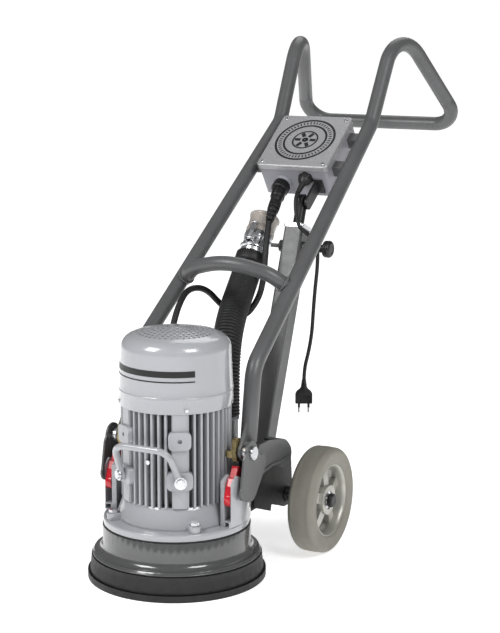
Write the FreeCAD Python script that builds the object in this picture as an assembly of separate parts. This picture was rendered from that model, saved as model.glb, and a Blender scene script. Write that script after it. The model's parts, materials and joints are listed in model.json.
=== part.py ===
import FreeCAD, Part
import math
import os

V = FreeCAD.Vector
X_AXIS = V(1, 0, 0)
Y_AXIS = V(0, 1, 0)
Z_AXIS = V(0, 0, 1)

# Walk-behind single-disc concrete grinder. Millimetres, floor at z = 0, +Y towards the operator.
# The shapes are drawn about the motor's vertical axis and moved to the row frame when saved.

# Grinding head, radii and heights from the floor up
SKIRT_R = 159.0
RIM_TOP = 12.0
BAND_TOP = 42.4
HOOD_TOP = 97.0
FLANGE_R = 132.3
FLANGE_Z = 99.3
SHIELD_Z = 112.0
SHIELD_R = 104.0
TOOL_R = 135.0
TOOL_TOP = 24.0

# Motor
MOTOR_Z = 150.0
MOTOR_TOP = 319.0
FIN_ROOT_R = 83.0
FIN_TIP_R = 99.0
FIN_COUNT = 48
FIN_TIP_HALF = 2.0
FIN_ROOT_HALF = 3.4
MOTOR_BORE_R = 80.0
TERMINAL_ANGLE = 38.0
TERMINAL_R = 99.5
COWL_R = 101.8
COWL_TOP = 455.0
GRILLE_R = 73.0
SHAFT_R = 14.0

# Wheels
WHEEL_R = 100.0
WHEEL_WIDTH = 50.0
WHEEL_X = 179.0
AXLE_Y = 234.2
AXLE_Z = 100.0
AXLE_R = 10.0

# Handle frame
TUBE_R = 15.0
TUBE_WALL = 2.5
PIVOT_Y = 14.6
PIVOT_Z = 238.5
REAR_Y = 932.9
REAR_Z = 758.6
SIDE_ROUTE = [
    V(125, 40, 252), V(122.5, 64, 382), V(102.7, 626.7, 775.8),
    V(110, 741.3, 982.5), V(185.4, REAR_Y, REAR_Z),
]
SIDE_BENDS = [60.0, 45.0, 68.0]
CORNER_BEND = 48.0
BOW_R = 14.0

# Control box, in its own tilted frame: x across, y up the slope, z out of the lid
BOX_PITCH = 35.0
BOX_Y = 463.1
BOX_Z = 700.1
BOX_HALF = 77.5
BOX_LENGTH = 159.0
LID_DEPTH = 12.0
BOX_DEPTH = 76.0
BUTTON_X = 26.0
BUTTON_W = -44.0
MOTOR_SOCKET_X = -28.0
SOCKET_W = -45.0
GLAND_X = 26.0
GLAND_W = -30.0

# Telescopic strut between the axle carrier and the control box
STRUT_X = 30.0
STRUT_FOOT = (262.0, 130.0)
STRUT_HEAD = (455.2, 632.1)
POST_HALF = 20.0
POST_WALL = 3.0
POST_LENGTH = 495.0
STRUT_TUBE_R = 11.0
CLAMP_AT = 445.0
EYE_PIN_R = 5.0
EYE_PLAY = 5.5

# Dust hose and its coupling
HOSE_R = 28.5
STUB_R = 25.0
DECK_Z = 104.0
BEAM_Y = 216.0
AXLE_END = 197.0
DUCT_Y = 185.0
DUCT_Z = 72.0
DUCT_R = 27.0
HOSE_ROUTE = [
    V(0, 185, 252), V(-2, 187, 345), V(-20, 240, 420), V(-50, 363, 485.3), V(-50, 392, 521),
]
COUPLING_LEAN = 39.1
COUPLING_R = 27.0
VACUUM_BORE_R = 25.0

# Cables, limp enough to hang; each route is the centre line's corner points
CORD_R = 3.75
CORD_ROUTE = [
    V(26, 463.9, 664.1), V(26, 450, 654.6), V(28, 429, 643.5), V(36, 413, 616), V(50, 398, 588),
    V(62, 412, 575), V(73, 438, 551), V(73, 438, 507), V(71, 431, 460), V(70.5, 425, 415),
    V(70, 421, 375), V(66, 414, 336), V(60, 407, 303), V(60, 407, 272),
]
PLUG_TURN = 27.0
MOTOR_CABLE_R = 6.0
MOTOR_CABLE_ROUTE = [
    V(-14.7, 398.3, 594.7), V(-9, 376, 564), V(-3, 358, 527), V(-2, 350, 488), V(-9, 342, 448),
    V(-36, 328, 409), V(-72, 308, 436), V(-82, 262, 478), V(-89, 205, 486), V(-86, 163, 462),
    V(-80, 128, 424), V(-74.8, 95.7, 372), V(-74.8, 95.7, 320),
]

REAR_LIMIT = REAR_Y + TUBE_R
MIDDLE_Y = (REAR_LIMIT - SKIRT_R) / 2


def save(name, *solids):
    """Write one named piece, or a group of identical pieces, in the row frame."""
    shape = solids[0] if len(solids) == 1 else Part.makeCompound(list(solids))
    shape = shape.copy()
    shape.translate(V(0, -MIDDLE_Y, 0))
    if not shape.isValid():
        print("INVALID", name)
    shape.exportStep("parts/" + name + ".step")


def outline(place, start, steps):
    """A flat face: a step of two numbers is a line, and one of four is an arc through a point."""
    edges = []
    here = place(*start)
    for step in steps:
        end = place(*step[-2:])
        if len(step) == 4:
            edges.append(Part.Arc(here, place(*step[:2]), end).toShape())
        else:
            edges.append(Part.LineSegment(here, end).toShape())
        here = end
    return Part.Face(Part.Wire(edges))


def turned(start, steps):
    """A solid of revolution about Z, drawn as radius and height."""
    face = outline(lambda r, z: V(r, 0, z), start, steps)
    return face.revolve(V(0, 0, 0), Z_AXIS, 360)


def plate(x, thickness, start, steps):
    """A plate across X, drawn in Y and Z."""
    face = outline(lambda y, z: V(x, y, z), start, steps)
    return face.extrude(V(thickness, 0, 0))


def flat(z, thickness, start, steps):
    """A level plate, drawn in X and Y."""
    face = outline(lambda x, y: V(x, y, z), start, steps)
    return face.extrude(V(0, 0, thickness))


def rod(radius, start, end):
    """A round bar between two points."""
    along = end - start
    return Part.makeCylinder(radius, along.Length, start, along)


def ring(outer, inner, low, high):
    """A plain ring about Z."""
    return turned((inner, low), [(outer, low), (outer, high), (inner, high), (inner, low)])


def block(low, high):
    """A rectangular block between two corners."""
    return Part.makeBox(high[0] - low[0], high[1] - low[1], high[2] - low[2], V(*low))


def mirrored(shape):
    """The same piece on the machine's other side."""
    return shape.mirror(V(0, 0, 0), X_AXIS)


def around(shape, count, first=0.0):
    """Copies of a shape at equal angles about Z."""
    copies = []
    for n in range(count):
        copy = shape.copy()
        copy.rotate(V(0, 0, 0), Z_AXIS, first + 360.0 * n / count)
        copies.append(copy)
    return copies


def rounded(shape, radius, chosen):
    """Round the edges for which chosen(edge) is true."""
    return shape.makeFillet(radius, [edge for edge in shape.Edges if chosen(edge)])


def fused(first, *others):
    """One solid from pieces that overlap."""
    return first.fuse(list(others)).removeSplitter()


def bent_path(points, radii):
    """Straight runs joined by tangent arcs of the given radii."""
    edges = []
    start = points[0]
    for before, corner, after, radius in zip(points, points[1:], points[2:], radii):
        back = (before - corner).normalize()
        onward = (after - corner).normalize()
        half_turn = (math.pi - back.getAngle(onward)) / 2
        first = corner + back * (radius * math.tan(half_turn))
        last = corner + onward * (radius * math.tan(half_turn))
        inward = (back + onward).normalize()
        middle = corner + inward * (radius / math.cos(half_turn) - radius)
        edges.append(Part.LineSegment(start, first).toShape())
        edges.append(Part.Arc(first, middle, last).toShape())
        start = last
    edges.append(Part.LineSegment(start, points[-1]).toShape())
    return Part.Wire(edges)


def hanging_path(name, points):
    """A cable's path, with each arc as large as its two runs allow."""
    radii = []
    for before, corner, after in zip(points, points[1:], points[2:]):
        turn = math.pi - (before - corner).getAngle(after - corner)
        shorter = min((before - corner).Length, (after - corner).Length)
        radii.append(0.45 * shorter / math.tan(turn / 2))
    path = bent_path(points, radii)
    print(name, "length", round(path.Length), "radii", [round(r) for r in radii])
    return path


def swept(path, radius):
    """A round solid along a path."""
    first = path.Edges[0]
    start = first.valueAt(first.FirstParameter)
    circle = Part.Circle(start, first.tangentAt(first.FirstParameter), radius)
    return path.makePipeShell([Part.Wire([circle.toShape()])], True, True)


def hollow_tube(path, radius, wall):
    """A bent tube, open at both ends."""
    return swept(path, radius).cut(swept(path, radius - wall))


def hex_bolt(radius, head, low, high):
    """A hexagon-headed bolt standing on the Z axis, head up."""
    corners = [
        V(radius * 1.9 * math.cos(math.radians(a)), radius * 1.9 * math.sin(math.radians(a)), high)
        for a in range(0, 361, 60)
    ]
    cap = Part.Face(Part.makePolygon(corners)).extrude(V(0, 0, head))
    return fused(cap, Part.makeCylinder(radius, high - low, V(0, 0, low)))


def turn_to_x(shape, x, y, z):
    """Lay a shape drawn about Z along +X, its origin at a point."""
    copy = shape.copy()
    copy.rotate(V(0, 0, 0), Y_AXIS, 90)
    copy.translate(V(x, y, z))
    return copy


def on_box(shape):
    """Put a shape drawn in the control box's own frame in its place."""
    copy = shape.copy()
    copy.rotate(V(0, 0, 0), X_AXIS, BOX_PITCH)
    copy.translate(V(0, BOX_Y, BOX_Z))
    return copy


def make_head():
    """Dust hood, skirt, seal and the motor's flange."""
    rim = turned(
        (146, 0),
        [(157, 0), (158.6, 2, SKIRT_R, 5), (158.8, 9, 157.4, RIM_TOP), (146, RIM_TOP), (146, 0)],
    )
    save("brush_rim", rim)
    band = turned(
        (150, RIM_TOP),
        [(157.4, RIM_TOP), (154.2, BAND_TOP - 1), (153.9, BAND_TOP, 153.2, BAND_TOP),
         (150, BAND_TOP), (150, RIM_TOP)],
    )
    save("skirt_band", band)
    hood = turned(
        (146, RIM_TOP),
        [(150, RIM_TOP), (150, 44), (151.6, 44), (152.4, 45.2, 151.6, 46.4), (149.5, 50),
         (139, 53, 134.5, 62), (134, 66), (134, HOOD_TOP), (46, HOOD_TOP), (46, 92), (129.5, 92),
         (129.5, 60), (134, 50, 143, 46), (146, 44), (146, RIM_TOP)],
    )
    save("dust_hood", hood.cut(rod(DUCT_R - 3.5, V(0, 100, DUCT_Z), V(0, 180, DUCT_Z))))
    save("hood_seal", ring(133, 60, HOOD_TOP, FLANGE_Z))
    flange = turned(
        (60, FLANGE_Z),
        [(FLANGE_R - 1, FLANGE_Z), (FLANGE_R, FLANGE_Z + 1), (FLANGE_R, SHIELD_Z - 3),
         (FLANGE_R - 0.9, SHIELD_Z - 0.9, FLANGE_R - 3, SHIELD_Z), (60, SHIELD_Z), (60, FLANGE_Z)],
    )
    save("motor_flange", flange)


def make_dust_duct():
    """Cast outlet that rises behind the motor to the hose's stub."""
    elbow = [V(0, 125, DUCT_Z), V(0, DUCT_Y, DUCT_Z), V(0, DUCT_Y, 262)]
    path = bent_path(elbow, [34.0])
    shell = swept(path, DUCT_R).cut(swept(path, DUCT_R - 3.5))
    hood_side = turned(
        (0, 20), [(150, 20), (149.5, 50), (139, 53, 134.5, 62), (134, 66), (134, 110), (0, 110), (0, 20)],
    )
    shell = shell.cut(hood_side)
    shell = shell.cut(ring(60, STUB_R, 200, 270).translated(V(0, DUCT_Y, 0)))
    bead = ring(STUB_R + 2.2, STUB_R - 0.5, 246, 250).translated(V(0, DUCT_Y, 0))
    save("dust_duct", fused(shell, bead))


def make_motor(handle_bolt):
    """Finned motor housing, shields, windings, bearings and fan cowl."""
    shield = turned(
        (62, SHIELD_Z),
        [(SHIELD_R + 4, SHIELD_Z), (SHIELD_R + 1, SHIELD_Z + 12), (SHIELD_R - 6, MOTOR_Z - 6),
         (SHIELD_R - 9, MOTOR_Z), (MOTOR_BORE_R, MOTOR_Z), (MOTOR_BORE_R, SHIELD_Z + 12),
         (32, SHIELD_Z + 12), (32, SHIELD_Z), (62, SHIELD_Z)],
    )
    lug = flat(SHIELD_Z, 12, (92, -11), [(118, -11), (129, 0, 118, 11), (92, 11), (92, -11)])
    bolt = hex_bolt(4.5, 6, SHIELD_Z, SHIELD_Z + 12).translated(V(117, 0, 0))
    flange_bolts = around(bolt, 4, 45)
    shield = fused(shield, *around(lug, 4, 45)).cut(Part.makeCompound(flange_bolts))
    save("end_shield", shield)
    rivet = rod(4, V(0, -FIN_TIP_R + 2, 231), V(0, -FIN_TIP_R - 2.5, 231))
    screws = around(rod(3.2, V(COWL_R - 1, 0, 326), V(COWL_R + 2.4, 0, 326)), 4, 40)
    save("motor_bolts", rivet, *flange_bolts, *screws, handle_bolt, mirrored(handle_bolt))

    body = ring(FIN_ROOT_R, MOTOR_BORE_R, MOTOR_Z, MOTOR_TOP)
    fin = flat(
        MOTOR_Z, MOTOR_TOP - MOTOR_Z, (FIN_ROOT_R - 1.5, -FIN_ROOT_HALF),
        [(FIN_TIP_R, -FIN_TIP_HALF), (FIN_TIP_R, FIN_TIP_HALF),
         (FIN_ROOT_R - 1.5, FIN_ROOT_HALF), (FIN_ROOT_R - 1.5, -FIN_ROOT_HALF)],
    )
    fins = around(fin, FIN_COUNT, 360.0 / FIN_COUNT / 2)
    rail = block((FIN_ROOT_R - 1.5, -12, MOTOR_Z), (FIN_TIP_R + 1, 12, MOTOR_TOP))
    rails = [r for angle in (-123, -57) for r in around(rail, 1, angle)]
    pad = block((FIN_ROOT_R - 1.5, -23, 150 + 34), (FIN_TIP_R + 6, 23, 150 + 66))
    pad = rounded(pad, 9, lambda e: abs(e.tangentAt(e.FirstParameter).x) > 0.9)
    boss = block((FIN_ROOT_R - 1.5, -20, 256), (FIN_TIP_R + 6, 20, 288))
    boss = rounded(boss, 9, lambda e: abs(e.tangentAt(e.FirstParameter).x) > 0.9)
    hole = rod(4, V(FIN_TIP_R - 4, 0, 272), V(FIN_TIP_R + 12, 0, 272))
    boss = boss.cut(hole)
    bosses = [b for angle in (-123, -57) for b in around(pad, 1, angle) + around(boss, 1, angle)]
    terminal_pad = block((-50, MOTOR_BORE_R + 3, 200), (50, TERMINAL_R, 300))
    terminal_pad.rotate(V(0, 0, 0), Z_AXIS, TERMINAL_ANGLE)
    housing = fused(body, *fins, *rails, *bosses, terminal_pad)
    cover_seat = ring(130, 101.2, MOTOR_TOP - 8, MOTOR_TOP + 4)
    cuts = Part.makeCompound([rivet, handle_bolt, mirrored(handle_bolt)])
    bridge = ring(MOTOR_BORE_R, 26, 305, MOTOR_TOP)
    save("motor_housing", fused(housing.cut(cover_seat).cut(cuts), bridge))

    core = ring(MOTOR_BORE_R, 52, 180, 290)
    save("stator", core, ring(76, 56, 160, 180), ring(76, 56, 290, 304))
    save("motor_bearings", ring(32, SHAFT_R, 114, 124), ring(26, SHAFT_R, 306, 318))

    cowl = turned(
        (COWL_R - 2, MOTOR_TOP),
        [(COWL_R, MOTOR_TOP), (COWL_R, 344), (COWL_R + 0.9, 346, COWL_R, 348), (98.6, 418),
         (90.9, 436.8, 78.7, 443.7), (GRILLE_R, 446), (40, 452), (8, COWL_TOP), (0, COWL_TOP),
         (0, COWL_TOP - 2), (8, COWL_TOP - 2), (40, 450), (GRILLE_R, 444), (78.2, 441.8),
         (89.5, 435.4, 96.6, 418), (COWL_R - 2, 348), (COWL_R - 2, MOTOR_TOP)],
    )
    slots = []
    for row, radius in enumerate((14, 23, 32, 41, 50, 59, 68)):
        count = 6 + 6 * row
        gap = 360.0 / count
        width = gap * 0.5 if row else gap * 0.4
        slot = ring(radius + 2.4, radius - 2.4, 435, 460)
        keep = Part.makeCylinder(90, 40, V(0, 0, 430), Z_AXIS, width)
        slots += around(slot.common(keep), count, gap / 2 * (row % 2))
    save("fan_cover", cowl.cut(Part.makeCompound(slots)).cut(Part.makeCompound(screws)))


def make_terminal_box():
    """Connection box on the motor's left rear, with its cable gland."""
    box = block((-38, 0, 210), (38, 44, 290))
    box = rounded(box, 6, lambda e: abs(e.tangentAt(e.FirstParameter).y) > 0.9)
    box = box.cut(block((-33, 4, 215), (33, 40, 285)))
    box = box.translated(V(0, TERMINAL_R, 0))
    box.rotate(V(0, 0, 0), Z_AXIS, TERMINAL_ANGLE)
    gland_foot = V(MOTOR_CABLE_ROUTE[-1].x, MOTOR_CABLE_ROUTE[-1].y, 288)
    entry = rod(8, gland_foot + V(0, 0, -12), gland_foot + V(0, 0, 20))
    save("terminal_box", box.cut(entry))
    sleeve = rod(8, gland_foot + V(0, 0, -6), gland_foot + V(0, 0, 6))
    nut = rod(12, gland_foot + V(0, 0, 2), gland_foot + V(0, 0, 20))
    cone = Part.makeCone(11, 7.5, 10, gland_foot + V(0, 0, 20))
    bore = rod(MOTOR_CABLE_R, gland_foot + V(0, 0, -20), gland_foot + V(0, 0, 40))
    save("terminal_gland", fused(sleeve, nut, cone).cut(bore))


def make_spindle():
    """Rotor, cooling fan, tool plate and diamond segments: everything on the motor shaft."""
    shaft = turned(
        (0, TOOL_TOP + 2),
        [(20, TOOL_TOP + 2), (20, 44), (SHAFT_R, 50), (SHAFT_R, 410), (0, 410), (0, TOOL_TOP + 2)],
    )
    core = ring(51, SHAFT_R, 180, 290)
    save("rotor", shaft, core)
    hub = ring(26, SHAFT_R, 372, 404)
    disc = ring(84, 25, 372, 375)
    blade = block((25, -1.2, 375), (84, 1.2, 402))
    save("cooling_fan", fused(hub, disc, *around(blade, 9)))
    disc = turned(
        (0, 12),
        [(TOOL_R - 4, 12), (TOOL_R, 14), (TOOL_R, 18), (60, 20), (48, TOOL_TOP + 2), (0, TOOL_TOP + 2),
         (0, 12)],
    )
    save("tool_plate", disc)
    shoe = block((84, -14, 0), (128, 14, 12))
    shoe = rounded(shoe, 6, lambda e: abs(e.tangentAt(e.FirstParameter).z) > 0.9)
    save("diamond_segments", *around(shoe, 6))


def make_carry_handle():
    """Lift handle on the motor's front, a bent rod bolted to two pads."""
    angle = math.atan2(57.6, 87.9)
    outward = V(math.sin(angle), -math.cos(angle), 0)
    seat = outward * (FIN_TIP_R + 6) + V(0, 0, 200)
    foot = seat + outward * 3.5
    corner = V(54, -125, 262)
    points = [foot, corner, V(-corner.x, corner.y, corner.z), V(-foot.x, foot.y, foot.z)]
    grip = swept(bent_path(points, [24.0, 24.0]), 6)
    eye = rod(10, seat, seat + outward * 7)
    handle = fused(grip, eye, mirrored(eye))
    washer = rod(11, seat + outward * 9.2, seat + outward * 10.5)
    shank = rod(4, seat - outward * 5, seat + outward * 12)
    bolt = fused(shank, washer, rod(7.5, seat + outward * 10.5, seat + outward * 14))
    room = rod(12, seat + outward * 9.2, seat + outward * 30)
    for cutter in (shank, room, rod(20, seat - outward * 20, seat)):
        handle = handle.cut(cutter).cut(mirrored(cutter))
    save("carry_handle", handle)
    return bolt


def make_latches():
    """Curved latch brackets on the flange, their red levers and the hooks above them."""
    sector = Part.makeCylinder(134, 92, V(0, 0, SHIELD_Z), Z_AXIS, 42)
    sector = sector.cut(Part.makeCylinder(112, 200, V(0, 0, 50)))
    sector.rotate(V(0, 0, 0), Z_AXIS, -17)
    over = plate(80, 80, (-60, 176), [(-20, 204), (60, 172), (80, 230), (-60, 240), (-60, 176)])
    channel = block((115.5, -60, 124), (129, 4, 260))
    window = block((118, -60, 113.5), (126.5, -22, 121.5))
    pin = rod(3, V(113, -14, 165), V(132, -14, 165))
    bracket = fused(sector.cut(over).cut(channel).cut(window), pin)
    save("latch_brackets", bracket, mirrored(bracket))
    lever = plate(
        116.4, 11.6, (-32, 150),
        [(-14, 155, -7, 158), (-3, 176), (3, 206), (1, 215, -8, 213), (-16, 198), (-22, 198),
         (-30, 186), (-35, 170), (-36, 155, -32, 150)],
    )
    lever = lever.cut(rod(3.05, V(110, -14, 165), V(140, -14, 165)))
    save("latch_lever_right", lever)
    save("latch_lever_left", mirrored(lever))
    hook = plate(
        113, 9, (2, 222), [(14, 222), (17, 250), (12, 264, 0, 262), (-5, 240), (2, 222)],
    )
    strap = block((90, 2, 228), (114, 12, 240)).cut(Part.makeCylinder(FIN_TIP_R, 60, V(0, 0, 200)))
    save("latch_hooks", fused(hook, strap), mirrored(fused(hook, strap)))


def make_chassis():
    """Side plates, wheel arms, deck, axle carrier, axle and the pins they hold."""
    side = plate(
        141, 4, (-14, 232),
        [(-8, 240), (14.6, 260, 36, 238.5), (50, 226), (70, 214, 66, 198), (34, 162),
         (14, 150, -8, 158), (-25, 166, -24, 182), (-14, 232)],
    )
    side = side.cut(rod(8, V(130, PIVOT_Y, PIVOT_Z), V(150, PIVOT_Y, PIVOT_Z)))
    save("side_plates", side, mirrored(side))

    arm = plate(
        108, 28, (26, 165),
        [(60, 186), (113, 191), (150, 188), (194, 192, 186, 212), (168, 226, 140, 232),
         (104, 240), (62, 240), (30, 200), (20, 170), (26, 165)],
    )
    hollow = plate(
        100, 32, (26, 170),
        [(59, 190), (113, 195), (149, 192), (189, 196, 182, 210), (166, 222, 139, 228),
         (103, 260), (20, 260), (0, 200), (0, 170), (26, 170)],
    )
    ties = [rod(6, V(136, y, z), V(141, y, z)) for y, z in ((36, 184), (58, 208))]
    latch_room = Part.makeCylinder(134.4, 95, V(0, 0, SHIELD_Z))
    lip = plate(
        136, 2.5, (66, 185),
        [(113, 190), (150, 187), (188, 190), (188, 194), (150, 191.5), (113, 194.5), (66, 190),
         (66, 185)],
    )
    arm = fused(arm.cut(hollow), lip, *ties).cut(latch_room)
    save("wheel_arms", arm, mirrored(arm))

    cheek = plate(
        104, 4, (96, 110),
        [(165, 85), (168, 97), (206, 84), (222, 78), (252, 78), (260, 90), (256, 118), (250, 178), (200, 189),
         (150, 184), (104, 176), (96, 110)],
    )
    cheek = cheek.cut(rod(AXLE_R, V(80, AXLE_Y, AXLE_Z), V(140, AXLE_Y, AXLE_Z)))
    beam = block((-104, BEAM_Y, 118), (104, BEAM_Y + 16, 158))
    beam = beam.cut(block((-120, BEAM_Y + 3, 121), (120, BEAM_Y + 13, 155)))
    foot_y, foot_z = STRUT_FOOT
    lug = plate(
        STRUT_X + 22, 5, (BEAM_Y + 15, foot_z - 14),
        [(foot_y, foot_z - 14), (foot_y + 14, foot_z, foot_y, foot_z + 14),
         (BEAM_Y + 15, foot_z + 14), (BEAM_Y + 15, foot_z - 14)],
    )
    lug = lug.cut(rod(6, V(-40, foot_y, foot_z), V(90, foot_y, foot_z)))
    far_lug = lug.translated(V(-49, 0, 0))
    deck = flat(DECK_Z, 6, (-104, 20), [(104, 20), (104, 190), (-104, 190), (-104, 20)])
    deck = deck.cut(Part.makeCylinder(FLANGE_R, 40, V(0, 0, 90)))
    deck = deck.cut(rod(DUCT_R, V(0, DUCT_Y, 90), V(0, DUCT_Y, 130)))
    web = block((-104, 186, DECK_Z), (104, 190, 130)).cut(rod(DUCT_R, V(0, DUCT_Y, 90), V(0, DUCT_Y, 135)))
    toe = block((-104, 186, 118), (104, BEAM_Y + 1, 122))
    toe = toe.cut(rod(DUCT_R, V(0, DUCT_Y, 90), V(0, DUCT_Y, 135)))
    carrier = fused(cheek, mirrored(cheek), beam, lug, far_lug, deck, web, toe)
    save("axle_carrier", carrier)

    axle = rod(AXLE_R, V(-AXLE_END, AXLE_Y, AXLE_Z), V(AXLE_END, AXLE_Y, AXLE_Z))
    collar = rod(15, V(109, AXLE_Y, AXLE_Z), V(154, AXLE_Y, AXLE_Z))
    collar = collar.cut(rod(AXLE_R, V(100, AXLE_Y, AXLE_Z), V(160, AXLE_Y, AXLE_Z)))
    save("axle", fused(axle, collar, mirrored(collar)))
    cap = turned((0, 0), [(13, 0), (13, 5), (12, 8, 9, 9), (0, 9), (0, 0)])
    cap = turn_to_x(cap, AXLE_END, AXLE_Y, AXLE_Z)
    save("axle_caps", cap, mirrored(cap))
    bolt = fused(
        rod(8, V(122.5, PIVOT_Y, PIVOT_Z), V(148, PIVOT_Y, PIVOT_Z)),
        rod(12, V(145, PIVOT_Y, PIVOT_Z), V(151, PIVOT_Y, PIVOT_Z)),
    )
    bush = rod(12, V(129.4, PIVOT_Y, PIVOT_Z), V(141, PIVOT_Y, PIVOT_Z))
    bush = bush.cut(rod(8, V(120, PIVOT_Y, PIVOT_Z), V(150, PIVOT_Y, PIVOT_Z)))
    low, high = V(STRUT_X - 29, foot_y, foot_z), V(STRUT_X + 31, foot_y, foot_z)
    strut_pin = fused(rod(6, low, high), rod(9, V(STRUT_X + 27, foot_y, foot_z), high))
    save("pivot_bolts", bolt, mirrored(bolt), bush, mirrored(bush), strut_pin)


def make_wheel(side, name):
    """A moulded tyre on a five-spoke rim, turning on two bearings."""
    tyre = turned(
        (68, -21),
        [(72, -24), (86, -25.7), (96.5, -22.5, 99.2, -13), (WHEEL_R, 0, 99.2, 13),
         (96.5, 22.5, 86, 25.7), (72, 24), (68, 21), (68, -21)],
    )
    barrel = turned(
        (63.5, -21),
        [(68, -21), (68, 21), (66.5, 21), (63.5, 17), (61, 2), (61, -4), (63.5, -21)],
    )
    hub = ring(28, 17.05, -19, 17)
    spoke = plate(
        -10, 20, (20, -7), [(64, -5), (64, 5), (40, 10), (20, 12), (20, -7)],
    )
    spokes = around(spoke.cut(Part.makeCylinder(22, 80, V(0, 0, -40))), 5, 18)
    rim = fused(barrel, hub, *spokes)
    where = V(WHEEL_X, AXLE_Y, AXLE_Z)
    bearing = ring(17, AXLE_R, -18, -8)
    pieces = [turn_to_x(shape, where.x, where.y, where.z) for shape in (tyre, rim, bearing)]
    bearings = [pieces[2], pieces[2].translated(V(23, 0, 0))]
    if side < 0:
        pieces = [mirrored(shape) for shape in pieces]
        bearings = [mirrored(shape) for shape in bearings]
    save("tyre_" + name, pieces[0])
    save("rim_" + name, pieces[1])
    return bearings


def make_handle():
    """Two side tubes with loops at the grip end, the rear crossbar and the bow."""
    rear_leg = SIDE_ROUTE[4] - SIDE_ROUTE[3]
    joint = SIDE_ROUTE[4] - rear_leg.normalize() * 74
    side_path = bent_path(SIDE_ROUTE[:4] + [joint], SIDE_BENDS)
    solid_tube = swept(side_path, TUBE_R)
    tube = solid_tube.cut(swept(side_path, TUBE_R - TUBE_WALL))
    foot = plate(
        123, 6, (PIVOT_Y - 14, PIVOT_Z),
        [(PIVOT_Y, PIVOT_Z - 14, PIVOT_Y + 10, PIVOT_Z - 10), (52, 262), (52, 292), (32, 288),
         (PIVOT_Y - 12, PIVOT_Z + 8), (PIVOT_Y - 14, PIVOT_Z)],
    )
    foot = foot.cut(rod(8.05, V(100, PIVOT_Y, PIVOT_Z), V(150, PIVOT_Y, PIVOT_Z)))
    side = fused(tube, foot.cut(solid_tube))
    save("handle_tube_right", side)
    save("handle_tube_left", mirrored(side))
    corner = SIDE_ROUTE[4]
    far_corner = V(-corner.x, corner.y, corner.z)
    bar_route = [joint, corner, far_corner, V(-joint.x, joint.y, joint.z)]
    bar = hollow_tube(bent_path(bar_route, [CORNER_BEND, CORNER_BEND]), TUBE_R, TUBE_WALL)
    save("handle_crossbar", bar)
    bow_route = [
        V(113, 229, 497.5), V(78, 209, 526), V(0, 193, 547), V(-78, 209, 526), V(-113, 229, 497.5),
    ]
    bow = hollow_tube(bent_path(bow_route, [60.0, 150.0, 60.0]), BOW_R, TUBE_WALL)
    save("bow_tube", bow.cut(solid_tube).cut(mirrored(solid_tube)))


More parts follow.
